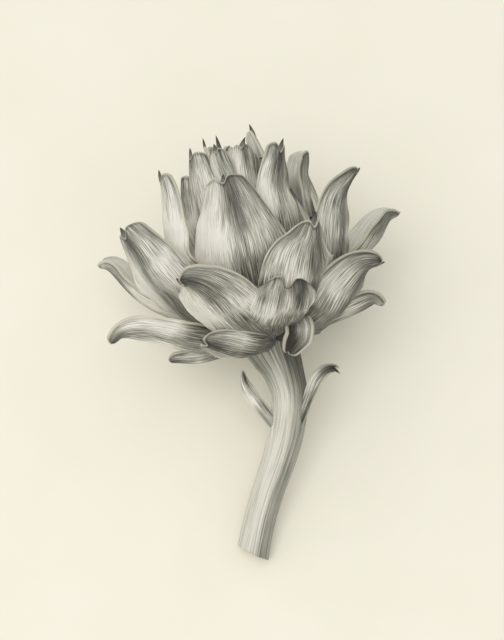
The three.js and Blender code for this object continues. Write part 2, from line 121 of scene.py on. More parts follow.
def linear(code):
    """An sRGB hex colour as linear red, green, blue and alpha."""
    parts = [int(code[i:i + 2], 16) / 255 for i in (1, 3, 5)]
    return [c / 12.92 if c <= 0.04045 else ((c + 0.055) / 1.055) ** 2.4 for c in parts] + [1]


def add_node(tree, kind, settings=None, links=None):
    """A node with settings, by option or socket, and links, by socket. "stops" are a ramp's colours."""
    node = tree.nodes.new(kind)
    for name, value in (settings or {}).items():
        if name == "stops":
            while len(node.color_ramp.elements) < len(value):
                node.color_ramp.elements.new(1)
            for element, (position, code) in zip(node.color_ramp.elements, value):
                element.position = position
                element.color = linear(code)
        elif isinstance(name, str) and hasattr(node, name):
            setattr(node, name, value)
        else:
            node.inputs[name].default_value = value
    for name, source in (links or {}).items():
        tree.links.new(source, node.inputs[name])
    return node


def new_material(name):
    """An empty node material: the material, its tree and its output node."""
    material = bpy.data.materials.new(name)
    material.use_nodes = True
    tree = material.node_tree
    tree.nodes.clear()
    return material, tree, tree.nodes.new("ShaderNodeOutputMaterial")


def grown_piece(name, points, faces, material, nodes, readings):
    """A smooth mesh piece in place of the CAD nodes. readings are numbers at its points, by name."""
    mesh = bpy.data.meshes.new(name)
    mesh.from_pydata(laid(points).tolist(), [], faces)
    mesh.shade_smooth()
    for reading, values in readings.items():
        values = np.asarray(values, np.float32)
        kind, field = ("FLOAT", "value") if values.ndim == 1 else ("FLOAT_VECTOR", "vector")
        mesh.attributes.new(reading, kind, "POINT").data.foreach_set(field, values.ravel())
    mesh.materials.append(material)
    piece = bpy.data.objects.new(name, mesh)
    bpy.context.scene.collection.objects.link(piece)
    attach(piece, "root")
    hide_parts(*nodes)


cut_normal = np.array([math.sin(CUT_SLOPE), math.cos(CUT_SLOPE), 0])
angles = 2 * math.pi * np.arange(SIDES) / SIDES
ribs = RIB_HEIGHT * (1 - np.cos(STALK_RIBS * angles)) / 2
fine_ribs = sum(height * np.sin(count * angles + start) for count, height, start in FINE_RIBS)
channel = CHANNEL_DEPTH * np.exp(-((angles - CHANNEL_AT) / CHANNEL_WIDTH) ** 2)
relief = fine_ribs - ribs - channel


def stalk_surface(t, depth=0):
    """The stalk's skin at t from the head to the end, as [ring, side], or a surface that deep under it."""
    ahead = smooth_run(STALK, np.minimum(t + 1e-3, 1))[..., :3]
    behind = smooth_run(STALK, np.maximum(t - 1e-3, 0))[..., :3]
    tangent = unit(ahead - behind)
    across = unit(np.cross(FRONT, tangent))
    front = np.cross(tangent, across)
    station = smooth_run(STALK, t)
    radius = station[..., 3] / 2 + relief - depth
    round_it = across * np.cos(angles)[:, None] + front * np.sin(angles)[:, None]
    return station[..., :3] + round_it * radius[..., None]


# Each line down the stalk ends where it meets the plane of the cut.
near_end = np.repeat(np.linspace(0.8, 1, 60)[:, None], SIDES, axis=1)
above_cut = (stalk_surface(near_end) - CUT_MIDDLE) @ cut_normal
cut_at = np.array([np.interp(0, -above_cut[:, k], near_end[:, k]) for k in range(SIDES)])
ring_at = np.linspace(0, 1, RINGS)[:, None] * cut_at
skin_rings = stalk_surface(ring_at)
rind_ring = stalk_surface(ring_at[-1:], RIND)
closing_ring = stalk_surface(ring_at[-1:], CLOSED_IN) + cut_normal * CLOSED_UP
rings = np.concatenate([skin_rings, rind_ring, closing_ring])
middles = [smooth_run(STALK, np.zeros(1))[0, :3], closing_ring[0].mean(0)]
points = np.vstack([rings.reshape(-1, 3), middles])
faces = tube_faces(len(rings), SIDES, len(points) - 2, len(points) - 1)

steps = np.linalg.norm(np.diff(skin_rings[:, 0], axis=0), axis=1)
travelled = np.concatenate([[0], np.cumsum(steps)])
down_stalk = np.append(np.repeat(np.append(travelled, [travelled[-1]] * 2), SIDES), [0, travelled[-1]])
around = np.append(np.tile(angles, len(rings)), [0, 0])
grain = np.stack([GRAIN_RADIUS * np.cos(around), GRAIN_RADIUS * np.sin(around), down_stalk], -1)
ridge = np.append(np.tile((relief - relief.min()) / np.ptp(relief), len(rings)), [0, 0])
# Painted shade down the stalk's right side, away from the light.
flush = np.append(np.tile(smoothstep(-0.25, 0.45, np.cos(angles)), len(rings)), [0, 0])

# Living skin under fine down: matt, with a soft sheen. It is streaked lengthways by the fibres under it,
# mottled, paler on the ribs, and has painted shade at the neck, under the head, and down its right side,
# away from the light. Seen from a metre away, fibres of 0.2 mm wouldn't show, so the streaks are 0.7 mm
# wide and 40 mm long.
STALK_FIBRES = (1.5, 1.5, 0.025)              # to the millimetre round the stalk and along it
STALK_MOTTLES = (0.16, 0.16, 0.05)            # likewise: 6 mm wide and 20 mm long
NECK_SHADE = (12, 40)                          # where down the stalk the painted shade under the head starts to fade and ends

stalk_skin, tree, output = new_material("downy_ribbed_stalk_skin")
grain_at = add_node(tree, "ShaderNodeAttribute", {"attribute_name": "grain"}).outputs["Vector"]
ridge_at = add_node(tree, "ShaderNodeAttribute", {"attribute_name": "ridge"}).outputs["Fac"]
painted_shade_at = add_node(tree, "ShaderNodeAttribute", {"attribute_name": "flush"}).outputs["Fac"]
drawn_out = add_node(
    tree, "ShaderNodeVectorMath", {"operation": "MULTIPLY", 1: STALK_FIBRES}, {0: grain_at})
fibres = add_node(
    tree, "ShaderNodeTexNoise", {"Scale": 1, "Detail": 3, "Roughness": 0.6},
    {"Vector": drawn_out.outputs[0]})
broad = add_node(tree, "ShaderNodeVectorMath", {"operation": "MULTIPLY", 1: STALK_MOTTLES}, {0: grain_at})
mottles = add_node(tree, "ShaderNodeTexNoise", {"Scale": 1, "Detail": 2}, {"Vector": broad.outputs[0]})
along_stalk = add_node(tree, "ShaderNodeSeparateXYZ", {}, {0: grain_at})
neck_shade = add_node(
    tree, "ShaderNodeMapRange",
    {"From Min": NECK_SHADE[0], "From Max": NECK_SHADE[1], "To Min": 1, "To Max": 0},
    {"Value": along_stalk.outputs["Z"]})
tone = add_node(tree, "ShaderNodeMath", {"operation": "MULTIPLY", 1: 1.2}, {0: fibres.outputs["Fac"]})
# Mottles, paler ribs, and painted shade at the neck and down the right side.
for share, source in [
        (0.35, mottles.outputs["Fac"]), (0.08, ridge_at), (-0.34, neck_shade.outputs[0]), (-0.26, painted_shade_at)]:
    tone = add_node(
        tree, "ShaderNodeMath", {"operation": "MULTIPLY_ADD", 1: share}, {0: source, 2: tone.outputs[0]})
colour = add_node(
    tree, "ShaderNodeValToRGB",
    {"stops": [(0.1, "#3f3f39"), (0.4, "#77776d"), (0.6, "#a5a499"), (0.9, "#d8d6cb")]},
    {"Fac": tone.outputs[0]})
bump = add_node(
    tree, "ShaderNodeBump", {"Strength": 0.7, "Distance": 0.3 * MM}, {"Height": fibres.outputs["Fac"]})
skin = add_node(
    tree, "ShaderNodeBsdfPrincipled",
    {"Roughness": 0.62, "IOR": 1.45, "Sheen Weight": 0.15, "Sheen Roughness": 0.4},
    {"Base Color": colour.outputs["Color"], "Normal": bump.outputs["Normal"]})
tree.links.new(skin.outputs[0], output.inputs["Surface"])

readings = {"grain": grain, "ridge": ridge, "flush": flush}
grown_piece("stalk", points, faces, stalk_skin, ["stem", "head"], readings)

# ---- The cut end ----
# Where the knife went through the stalk at a slant: moist, pale pith inside the green skin, dotted with the
# cut ends of the bundles of fibre and darker round its edge, where it has begun to dry.

PITH_RINGS = 24
PITH_EDGE = 0.5                               # the pith starts this far under the skin's surface
PITH_DEPTH = 0.9                              # and is modelled this deep
PITH_HOLLOW = 0.05                            # how far the pith stands back from the plane of the cut
KNIFE_MARKS = 0.1                             # how high the waves are that the knife left in it

pith_edge = stalk_surface(ring_at[-1:], PITH_EDGE)[0]
middle = pith_edge.mean(0)
shares = np.linspace(1, 0.02, PITH_RINGS)
pith_rings = [pith_edge + cut_normal * PITH_DEPTH]
for share in shares:
    marks = KNIFE_MARKS * np.sin(7 * angles + 9 * share) * share * (1 - share) * 4
    pith_rings.append(middle + (pith_edge - middle) * share - cut_normal * (marks[:, None] - PITH_HOLLOW))
points = np.vstack(pith_rings + [middle + cut_normal * PITH_DEPTH, middle + cut_normal * PITH_HOLLOW])
faces = tube_faces(len(pith_rings), SIDES, len(points) - 2, len(points) - 1)
from_middle = np.append(np.repeat(np.append(1, shares), SIDES), [0, 0])

# Wet plant tissue: pale and fairly glossy, as its cut cells are full of juice. The cut bundles are dots
# some 1.6 mm apart and the cells' roughness is 0.4 mm across.
pith, tree, output = new_material("moist_cut_pith")
place = add_node(tree, "ShaderNodeTexCoord").outputs["Object"]
outward_share = add_node(tree, "ShaderNodeAttribute", {"attribute_name": "from_middle"}).outputs["Fac"]
bundles = add_node(tree, "ShaderNodeTexVoronoi", {"Scale": 620}, {"Vector": place})
dots = add_node(
    tree, "ShaderNodeMapRange", {"From Min": 0.12, "From Max": 0.42, "To Min": 0.25, "To Max": 1},
    {"Value": bundles.outputs["Distance"]})
cells = add_node(tree, "ShaderNodeTexNoise", {"Scale": 2500, "Detail": 3}, {"Vector": place})
flesh_colour = add_node(
    tree, "ShaderNodeValToRGB",
    {"stops": [(0.0, "#d9d6ca"), (0.72, "#cfccbe"), (0.9, "#a2a194"), (1, "#7c7b70")]},
    {"Fac": outward_share})
colour = add_node(
    tree, "ShaderNodeMix", {"data_type": "RGBA", 6: linear("#8b8a7c")},
    {"Factor": dots.outputs[0], 7: flesh_colour.outputs["Color"]})
bump = add_node(
    tree, "ShaderNodeBump", {"Strength": 0.5, "Distance": 0.2 * MM}, {"Height": cells.outputs["Fac"]})
wet = add_node(
    tree, "ShaderNodeBsdfPrincipled", {"Roughness": 0.38, "IOR": 1.4},
    {"Base Color": colour.outputs[2], "Normal": bump.outputs["Normal"]})
tree.links.new(wet.outputs[0], output.inputs["Surface"])

grown_piece("cut_end", points, faces, pith, ["stem"], {"from_middle": from_middle})

# ---- The fleshy base ----
# The thick cone in the middle of the head, which every bract grows out of, grooved by the bracts' roots. It
# is solid flesh, and shows only deep between the bracts and round the top of the stalk.

HEAD_LEAN = math.radians(10)                  # to the left of the stalk's top
UP_HEAD = np.array([-math.sin(HEAD_LEAN), math.cos(HEAD_LEAN), 0])
ACROSS_HEAD = np.array([math.cos(HEAD_LEAN), math.sin(HEAD_LEAN), 0])
# [distance from the head's axis, height above the middle of its base]
BASE_PROFILE = [
    [10, -6], [14, -1], [22, 2], [27, 7], [28.5, 15], [28, 25],
    [26, 36], [22.5, 46], [17, 56], [11, 64], [4, 70],
]
BASE_TOP = 71
BASE_RINGS, BASE_SIDES = 60, 96
UNDER_ROOTS = 0.6                             # how far inside that outline its surface lies
ROOT_GROOVES = 0.5                            # how deep its grooves are
ROOTS_ROUND, ROOTS_UP = 13, 4.5               # how many there are round it and up it


def outward(azimuth):
    """The direction out of the head's axis at each azimuth in degrees: 0 is the front, 90 the right."""
    a = np.radians(azimuth)[..., None]
    return ACROSS_HEAD * np.sin(a) + FRONT * np.cos(a)


def sideways(azimuth):
    """The direction round the head at each azimuth in degrees."""
    a = np.radians(azimuth)[..., None]
    return ACROSS_HEAD * np.cos(a) - FRONT * np.sin(a)


profile = smooth_run(BASE_PROFILE, np.linspace(0, 1, BASE_RINGS))
turned = np.arange(BASE_SIDES) * 360 / BASE_SIDES
round_it = np.sin(np.radians(ROOTS_ROUND * turned))
up_it = np.sin(np.linspace(0, ROOTS_UP * 2 * math.pi, BASE_RINGS))[:, None]
radius = profile[:, :1] - UNDER_ROOTS + ROOT_GROOVES * round_it * up_it
rings = outward(turned) * radius[..., None] + UP_HEAD * profile[:, 1:2, None]
points = np.vstack([rings.reshape(-1, 3), UP_HEAD * BASE_PROFILE[0][1], UP_HEAD * BASE_TOP])
heights = np.append(np.repeat(profile[:, 1], BASE_SIDES), [BASE_PROFILE[0][1], BASE_TOP])
faces = [face[::-1] for face in tube_faces(BASE_RINGS, BASE_SIDES, len(points) - 2, len(points) - 1)]

# Raw flesh that light seldom reaches: matt, stained in patches some 4 mm across, and dark with painted
# shade, which deepens up the cone.
base_flesh, tree, output = new_material("stained_flesh_in_painted_shade")
place = add_node(tree, "ShaderNodeTexCoord").outputs["Object"]
height_at = add_node(tree, "ShaderNodeAttribute", {"attribute_name": "height"}).outputs["Fac"]
stains = add_node(tree, "ShaderNodeTexNoise", {"Scale": 240, "Detail": 4}, {"Vector": place})
# Painted shade that deepens up the cone, between the bracts.
painted_shade_up = add_node(tree, "ShaderNodeMapRange", {"From Min": -6, "From Max": 40}, {"Value": height_at})
tone = add_node(
    tree, "ShaderNodeMath", {"operation": "MULTIPLY_ADD", 1: 0.5},
    {0: stains.outputs["Fac"], 2: painted_shade_up.outputs[0]})
colour = add_node(
    tree, "ShaderNodeValToRGB", {"stops": [(0.1, "#8c8e74"), (0.5, "#6a6d57"), (1, "#3d4034")]},
    {"Fac": tone.outputs[0]})
bump = add_node(
    tree, "ShaderNodeBump", {"Strength": 0.6, "Distance": 0.4 * MM}, {"Height": stains.outputs["Fac"]})
flesh = add_node(
    tree, "ShaderNodeBsdfPrincipled", {"Roughness": 0.7, "IOR": 1.45},
    {"Base Color": colour.outputs["Color"], "Normal": bump.outputs["Normal"]})
tree.links.new(flesh.outputs[0], output.inputs["Surface"])

grown_piece("fleshy_base", points, faces, base_flesh, ["head"], {"height": heights})

# ---- The outermost bracts, round the stalk ----
# Small, narrow bracts that lie back under the head, the oldest of them withered and curled down. Like every
# bract they are fleshy at the root and thin out to a pale rim. Most end in a notch with a hard spine.

ROOT_FLESH, MIDDLE_FLESH, RIM_FLESH = 5, 2.8, 1.5   # a bract's thickness in millimetres
CUP_EASING = 0.15                 # how much flatter a bract is at its tip than at its root
FOLD_WIDTH = 0.14                 # of the fold under the notch, as a share of half the bract's width
KEEL_WIDTH = 0.45                 # of the ridge down its back, likewise
FLARE_EASING = 0.2                # of its length, over which a turned edge comes and goes
TORN_TEETH = 3                    # points that a torn tip is left with
SWAY = (0.45, 24)                 # gentle waves of the whole blade: [how high, how long] in millimetres
FLUTTER = (0.5, 16)               # quicker waves of its edges, likewise
EDGE_AT = 40                      # where off the middle that wave is taken, so that each edge has its own
RIBS = (0.16, 22)                 # fine ribs on its back, likewise
RIBS_FINER = (7, 0.8)             # across and along it: they are 3 mm wide and 27 mm long
FACE_WIDTH, FACE_LENGTH = 0.85, 1.05                # of the mesh, in millimetres
LEAST_COLUMNS, LEAST_ROWS = 14, 30
RIM_ANGLES = [0, 22, 45, 68]      # the steps in which its rim is rounded, in degrees
SHADED_SIDE = unit(np.array([0.93, -0.28, 0.15]))    # the plant's right side, away from the light, where shade is painted

# How one bract may differ from another. cup is how far its sides bend in and roll how far it turns about
# its midline, at the root and the tip, in degrees. rounding is how far back the corners of its tip are,
# notch how deep its notch is and groove how deep the fold is that runs down from it. keel is how far the
# middle of its back stands out, flare how far its left edge is turned out, over a stretch of its length,
# and torn how deep a withered tip is torn. spine is how tall its spine stands, girth how broad that is and
# lean how far it leans to one side. life is how much the blade waves. The last three settings paint it:
# the first darkens all of it, as age and as painted shade, or lightens it with painted light below zero;
# the next adds painted shade at its root; and the last adds painted shade on the side turned to the
# plant's right, away from the light, or on its left side where it is below zero.
PLAIN = {
    "cup": 50, "roll": (0, 0), "rounding": 5, "notch": 3, "notch_width": 0.22,
    "groove": 0, "groove_from": 0.45, "keel": 1.5, "flare": 0, "flare_from": 0.2, "flare_to": 0.7,
    "torn": 0, "spine": 3.5, "girth": 1, "lean": 0.15, "life": 1, "age": 0, "root_shade": 0, "sun": 1,
}


def midline(points, widths, side_at, roll):
    """A blade's length in millimetres, and a function of its middle, width and three directions at s."""
    fine = np.linspace(0, 1, 201)
    steps = np.linalg.norm(np.diff(smooth_run(points, fine), axis=0), axis=1)
    travelled = np.concatenate([[0], np.cumsum(steps)])

    def at(s):
        t = np.interp(np.clip(s, 0, 1) * travelled[-1], travelled, fine)
        along = unit(smooth_run(points, t + 1e-3) - smooth_run(points, t - 1e-3))
        across = side_at(t, along)
        across = unit(across - (across * along).sum(-1, keepdims=True) * along)
        angle = np.radians(roll[0] + (roll[1] - roll[0]) * s)[..., None]
        across = across * np.cos(angle) + np.cross(along, across) * np.sin(angle)
        return smooth_run(points, t), smooth_run(widths, t), along, across, np.cross(along, across)

    return travelled[-1], at


def swells(x, y, length):
    """Gentle random swells over a surface, about one high and each about as long as said."""
    total = np.zeros(np.broadcast(x, y).shape)
    for _ in range(6):
        angle, phase = chance.uniform(0, 2 * math.pi, 2)
        wave = length * chance.uniform(0.7, 1.5)
        total += np.sin(2 * math.pi * (x * math.cos(angle) + y * math.sin(angle)) / wave + phase)
    return total / 2.5


def tip_at(shape, length, q):
    """How far along a blade its end lies at q, which runs from -1 to 1 across it."""
    rounded = shape["rounding"] * (1 - np.sqrt(np.maximum(0, 1 - q * q)))
    dented = shape["notch"] * np.exp(-(q / shape["notch_width"]) ** 2)
    torn = shape["torn"] * np.abs(np.sin(TORN_TEETH / 2 * math.pi * q))
    return 1 - (rounded + dented + torn) / length


def blade_middle(shape, at, s, q):
    """The middle of a blade's flesh at s along and q across it, and the directions in, along and across."""
    middle, width, along, across, inward = at(s)
    bend = math.radians(shape["cup"]) * (1 - CUP_EASING * s)
    reach = width / 2 / bend
    fold = shape["groove"] * np.exp(-(q / FOLD_WIDTH) ** 2) * smoothstep(shape["groove_from"], 0.95, s)
    keel = shape["keel"] * np.exp(-(q / KEEL_WIDTH) ** 2) * smoothstep(0, 0.3, s)
    flare_rise = smoothstep(shape["flare_from"], shape["flare_from"] + FLARE_EASING, s)
    flare_fall = smoothstep(shape["flare_to"] - FLARE_EASING, shape["flare_to"], s)
    flare = shape["flare"] * smoothstep(0.5, 1, -q) * flare_rise * (1 - flare_fall)
    point = middle + across * (reach * np.sin(q * bend))[..., None]
    point = point + inward * (reach * (1 - np.cos(q * bend)) + fold - keel - flare)[..., None]
    normal = inward * np.cos(q * bend)[..., None] - across * np.sin(q * bend)[..., None]
    return point, unit(normal), along, across


def fullness(depth, radius):
    """How full a rounded edge of that radius is at a depth behind it, from 0 to 1."""
    return np.sqrt(np.clip(1 - (1 - np.clip(depth / radius, 0, 1)) ** 2, 0, 1))


def blade_faces(rows, columns):
    """Faces of an outer and an inner grid that meet at the rim, and which inner points aren't shared."""
    outer = np.arange(rows * columns).reshape(rows, columns)
    free = np.zeros(outer.shape, bool)
    free[:-1, 1:-1] = True
    inner = outer.copy()
    inner[free] = outer.size + np.arange(free.sum())
    faces = []
    for a, b, c, d in [
            (outer[:-1, :-1], outer[:-1, 1:], outer[1:, 1:], outer[1:, :-1]),
            (inner[:-1, :-1], inner[1:, :-1], inner[1:, 1:], inner[:-1, 1:])]:
        faces += np.stack([a, b, c, d], -1).reshape(-1, 4).tolist()
    for k in range(columns - 1):
        root = [outer[0, k], inner[0, k], inner[0, k + 1], outer[0, k + 1]]
        faces.append(list(dict.fromkeys(int(corner) for corner in root)))
    return faces, free


def blade(name, length, at, shape, flesh, material, node):
    """A closed blade with a rounded rim, as a piece. flesh is its thickness at root, middle and rim."""
    root_flesh, middle_flesh, rim_flesh = flesh
    rim = rim_flesh / 2
    widest = at(np.linspace(0, 1, 40))[1].max()
    columns = 2 * int(max(LEAST_COLUMNS, widest / FACE_WIDTH) / 2)
    rows = int(max(LEAST_ROWS, length / FACE_LENGTH))

    # j runs from 0 at the root to 1 at the end of the blade and q from -1 to 1 across it. Both have small
    # steps where the rim is rounded. s is the place along the midline.
    curl = 1 - np.cos(np.radians(RIM_ANGLES))
    j = np.append(np.linspace(0, 1 - rim / length, rows - 3)[:-1], (1 - rim / length * curl)[::-1])[:, None]
    half_width = at(j[:, 0])[1][:, None] / 2
    edge = np.minimum(rim / np.maximum(half_width, 1), 0.45)
    between = (1 - edge) * np.linspace(-1, 1, columns - 7)
    q = np.concatenate([-1 + edge * curl, between, (1 - edge * curl)[:, ::-1]], axis=1)
    s = j * tip_at(shape, length, q)
    point, normal, _, _ = blade_middle(shape, at, s, q)

    # The flesh is thickest in the middle of the root, and thins out to the sides and over the last quarter.
    to_side = (1 - np.abs(q)) * half_width
    to_tip = (1 - j) * length * np.ones_like(q)
    full = fullness(to_side, rim) * fullness(to_tip, rim)
    belly = (middle_flesh - rim_flesh) * (1 - q * q) * (1 - smoothstep(0.75, 1, j))
    root = (root_flesh - middle_flesh) * (1 - smoothstep(0, 0.45, s)) * (1 - 0.6 * q * q)
    half_flesh = (rim_flesh + belly + root) / 2 * full

    # The root is held between its neighbours, so the waves begin above it.
    x, y = q * widest / 2, s * length
    sway = SWAY[0] * swells(x, y, SWAY[1]) * smoothstep(0.1, 0.4, s)
    flutter = FLUTTER[0] * np.abs(q) ** 3 * swells(np.sign(q) * EDGE_AT, y, FLUTTER[1])
    flutter = flutter * smoothstep(0.2, 0.5, s)
    ribs = RIBS[0] * swells(x * RIBS_FINER[0], y * RIBS_FINER[1], RIBS[1])
    ribs = ribs * full * (1 - smoothstep(0.9, 1, j))
    point = point + normal * (shape["life"] * (sway + flutter))[..., None]
    outer = point - normal * (half_flesh + shape["life"] * ribs)[..., None]
    inner = point + normal * half_flesh[..., None]
    faces, free = blade_faces(*q.shape)

    def on_both(reading):
        return np.concatenate([reading.ravel(), reading[free]])

    # Painted shade darkens a stripe just beside the keel, mostly on its right, and each face by how far it
    # turns to the plant's right, away from the light.
    shift_x, shift_y = chance.uniform(0, 400, 2)
    # How far each face turns to the side that gets painted shade.
    facing_sun = shape["sun"] * (normal @ SHADED_SIDE)
    shade_beside_keel = np.exp(-((q - chance.uniform(-0.05, 0.3)) / 0.3) ** 2) * smoothstep(0.25, 0.5, s)
    outer_painted_shade = 0.36 * shade_beside_keel - 0.34 * facing_sun
    grain = np.stack([x + shift_x, y + shift_y, np.zeros_like(q)], -1)
    # Age and painted shade over the whole bract, with more painted shade toward its root.
    age = shape["age"] + shape["root_shade"] * (1 - smoothstep(0.35, 0.75, s))
    points = np.concatenate([outer.reshape(-1, 3), inner[free]])
    grown_piece(name, points, faces, material, [node], {
        "grain": np.concatenate([grain.reshape(-1, 3), grain[free]]),
        "from_root": on_both(s),
        "to_rim": on_both(np.minimum(to_side, to_tip)),
        "inner": np.concatenate([np.where(free, 0, 0.5).ravel(), np.ones(free.sum())]),
        "flush": np.concatenate([outer_painted_shade.ravel(), 0.4 * facing_sun[free]]),
        "age": on_both(age),
    })


# A living bract's skin: wax over tough fibres, so nearly matt, with a faint sheen. It is streaked from root
# to tip, dark at the root with painted shade, pale between, darker toward the tip in its own colour, and
# mottled. Age and painted shade darken a bract, or painted light lightens it, and painted shade falls
# beside its keel and on its side away from the light. Its rim is pale, partly as pale cartilage and partly
# as a painted highlight, with a line of painted shade inside it. The inner face is paler, partly in its own
# colour and partly as painted light, with faint veins, and dulls with age and painted shade.
# Real fibres are some 0.1 mm apart, but these are 0.28 mm wide and 12 mm long, so that they show.
BRACT_FIBRES = (3.6, 0.08, 1)                 # to the millimetre across the bract and along it
BRACT_MOTTLES = (0.11, 0.04, 1)               # likewise: 9 mm wide and 25 mm long

bract_skin, tree, output = new_material("waxy_fibrous_bract_skin")
grain_at = add_node(tree, "ShaderNodeAttribute", {"attribute_name": "grain"}).outputs["Vector"]
from_root = add_node(tree, "ShaderNodeAttribute", {"attribute_name": "from_root"}).outputs["Fac"]
to_rim = add_node(tree, "ShaderNodeAttribute", {"attribute_name": "to_rim"}).outputs["Fac"]
inner_side = add_node(tree, "ShaderNodeAttribute", {"attribute_name": "inner"}).outputs["Fac"]
painted_shade_at = add_node(tree, "ShaderNodeAttribute", {"attribute_name": "flush"}).outputs["Fac"]
age_and_shade_at = add_node(tree, "ShaderNodeAttribute", {"attribute_name": "age"}).outputs["Fac"]
drawn_out = add_node(
    tree, "ShaderNodeVectorMath", {"operation": "MULTIPLY", 1: BRACT_FIBRES}, {0: grain_at})
fibres = add_node(
    tree, "ShaderNodeTexNoise", {"Scale": 1, "Detail": 2, "Roughness": 0.6},
    {"Vector": drawn_out.outputs[0]})
broad = add_node(tree, "ShaderNodeVectorMath", {"operation": "MULTIPLY", 1: BRACT_MOTTLES}, {0: grain_at})
mottles = add_node(
    tree, "ShaderNodeTexNoise", {"Scale": 1, "Detail": 3, "Roughness": 0.6}, {"Vector": broad.outputs[0]})
# Along the blade: painted shade at the root, where the bracts overlap, pale between, and darker toward the
# tip in the bract's own colour.
shaded_root_to_tip = add_node(
    tree, "ShaderNodeValToRGB",
    {"stops": [
        (0.05, "#383838"), (0.34, "#6e6e6e"), (0.56, "#bcbcbc"), (0.76, "#8f8f8f"), (0.97, "#525252")]},
    {"Fac": from_root})
# A line of painted shade just inside the rim, from 1.1 to 2.6 mm in.
shade_inside_rim = add_node(
    tree, "ShaderNodeMapRange", {"From Min": 1.1, "From Max": 2.6, "To Min": 1, "To Max": 0},
    {"Value": to_rim})
tone = add_node(
    tree, "ShaderNodeMath", {"operation": "SUBTRACT", 1: 0.73}, {0: shaded_root_to_tip.outputs["Color"]})
# The tone: fibres and mottles, the paler inner face, then painted shade from the side and keel, age with
# painted shade, and the painted line inside the rim.
for share, source in [
        (1.7, fibres.outputs["Fac"]), (0.9, mottles.outputs["Fac"]), (0.28, inner_side),
        (-1, painted_shade_at), (-1, age_and_shade_at), (-0.22, shade_inside_rim.outputs[0])]:
    tone = add_node(
        tree, "ShaderNodeMath", {"operation": "MULTIPLY_ADD", 1: share}, {0: source, 2: tone.outputs[0]})
outer_colour = add_node(
    tree, "ShaderNodeValToRGB",
    {"stops": [
        (0.05, "#262622"), (0.25, "#464640"), (0.5, "#7c7b71"), (0.72, "#b4b3a8"), (0.95, "#e9e7df")]},
    {"Fac": tone.outputs[0]})
# The inner face's pale veined colour is partly its own and partly painted light that lifts it where it lies
# in shade.
vein_colour = add_node(
    tree, "ShaderNodeValToRGB", {"stops": [(0.36, "#fdfbf5"), (0.5, "#dcdacf"), (0.64, "#8e8c81")]},
    {"Fac": fibres.outputs["Fac"]})
# More of the pale veined inner colour shows where the bract is young or given painted light.
freshness_and_light = add_node(
    tree, "ShaderNodeMapRange", {"From Min": -0.5, "From Max": 0.7, "To Min": 0.8, "To Max": 0},
    {"Value": age_and_shade_at})
veins_share = add_node(
    tree, "ShaderNodeMath", {"operation": "MULTIPLY"}, {0: inner_side, 1: freshness_and_light.outputs[0]})
veined = add_node(
    tree, "ShaderNodeMix", {"data_type": "RGBA"},
    {"Factor": veins_share.outputs[0], 6: outer_colour.outputs["Color"], 7: vein_colour.outputs["Color"]})
# The pale rim, within 1.2 mm of the edge: partly the rim's own paler colour, partly a painted highlight.
rim_and_highlight_share = add_node(
    tree, "ShaderNodeMapRange", {"From Min": 0.5, "From Max": 1.2, "To Min": 0.6, "To Max": 0},
    {"Value": to_rim})
colour = add_node(
    tree, "ShaderNodeMix", {"data_type": "RGBA", 7: linear("#dedbc8")},
    {"Factor": rim_and_highlight_share.outputs[0], 6: veined.outputs[2]})
bump = add_node(
    tree, "ShaderNodeBump", {"Strength": 0.8, "Distance": 0.3 * MM}, {"Height": fibres.outputs["Fac"]})
skin = add_node(
    tree, "ShaderNodeBsdfPrincipled",
    {"Roughness": 0.55, "IOR": 1.45, "Sheen Weight": 0.1, "Sheen Roughness": 0.4},
    {"Base Color": colour.outputs[2], "Normal": bump.outputs["Normal"]})
tree.links.new(skin.outputs[0], output.inputs["Surface"])

# Dry horn: grey where a spine leaves the waxy skin, nearly black at its tip, and a little glossier.
spine_horn, tree, output = new_material("dry_horny_spine")
up_spine = add_node(tree, "ShaderNodeAttribute", {"attribute_name": "up_spine"}).outputs["Fac"]
colour = add_node(
    tree, "ShaderNodeValToRGB",
    {"stops": [(0.35, "#77766c"), (0.55, "#65635b"), (0.8, "#45433d"), (1, "#2a2824")]},
    {"Fac": up_spine})
horn = add_node(
    tree, "ShaderNodeBsdfPrincipled", {"Roughness": 0.5, "IOR": 1.5},
    {"Base Color": colour.outputs["Color"]})
tree.links.new(horn.outputs[0], output.inputs["Surface"])

SPINE_RINGS, SPINE_SIDES = 18, 16
SPINE_WIDTHS = [[1.2], [1.4], [1.5], [1.15], [0.7], [0.15]]     # half its width from its foot to its tip
SPINE_DEPTHS = [[0.2], [0.3], [0.45], [0.6], [0.5], [0.12]]     # and half its depth
SPINE_HOOK = 0.12                             # how far its tip bends inward, as a share of its height
SPINE_ROOT = 0.8                              # how deep its foot is sunk in the flesh
SPINE_FOOT = 1.5                              # how far under the notch's bottom it starts
SPINE_HIDDEN, NOTCH_HIDES = 1.3, 0.4          # of its height: by the flesh, and as a share of the notch


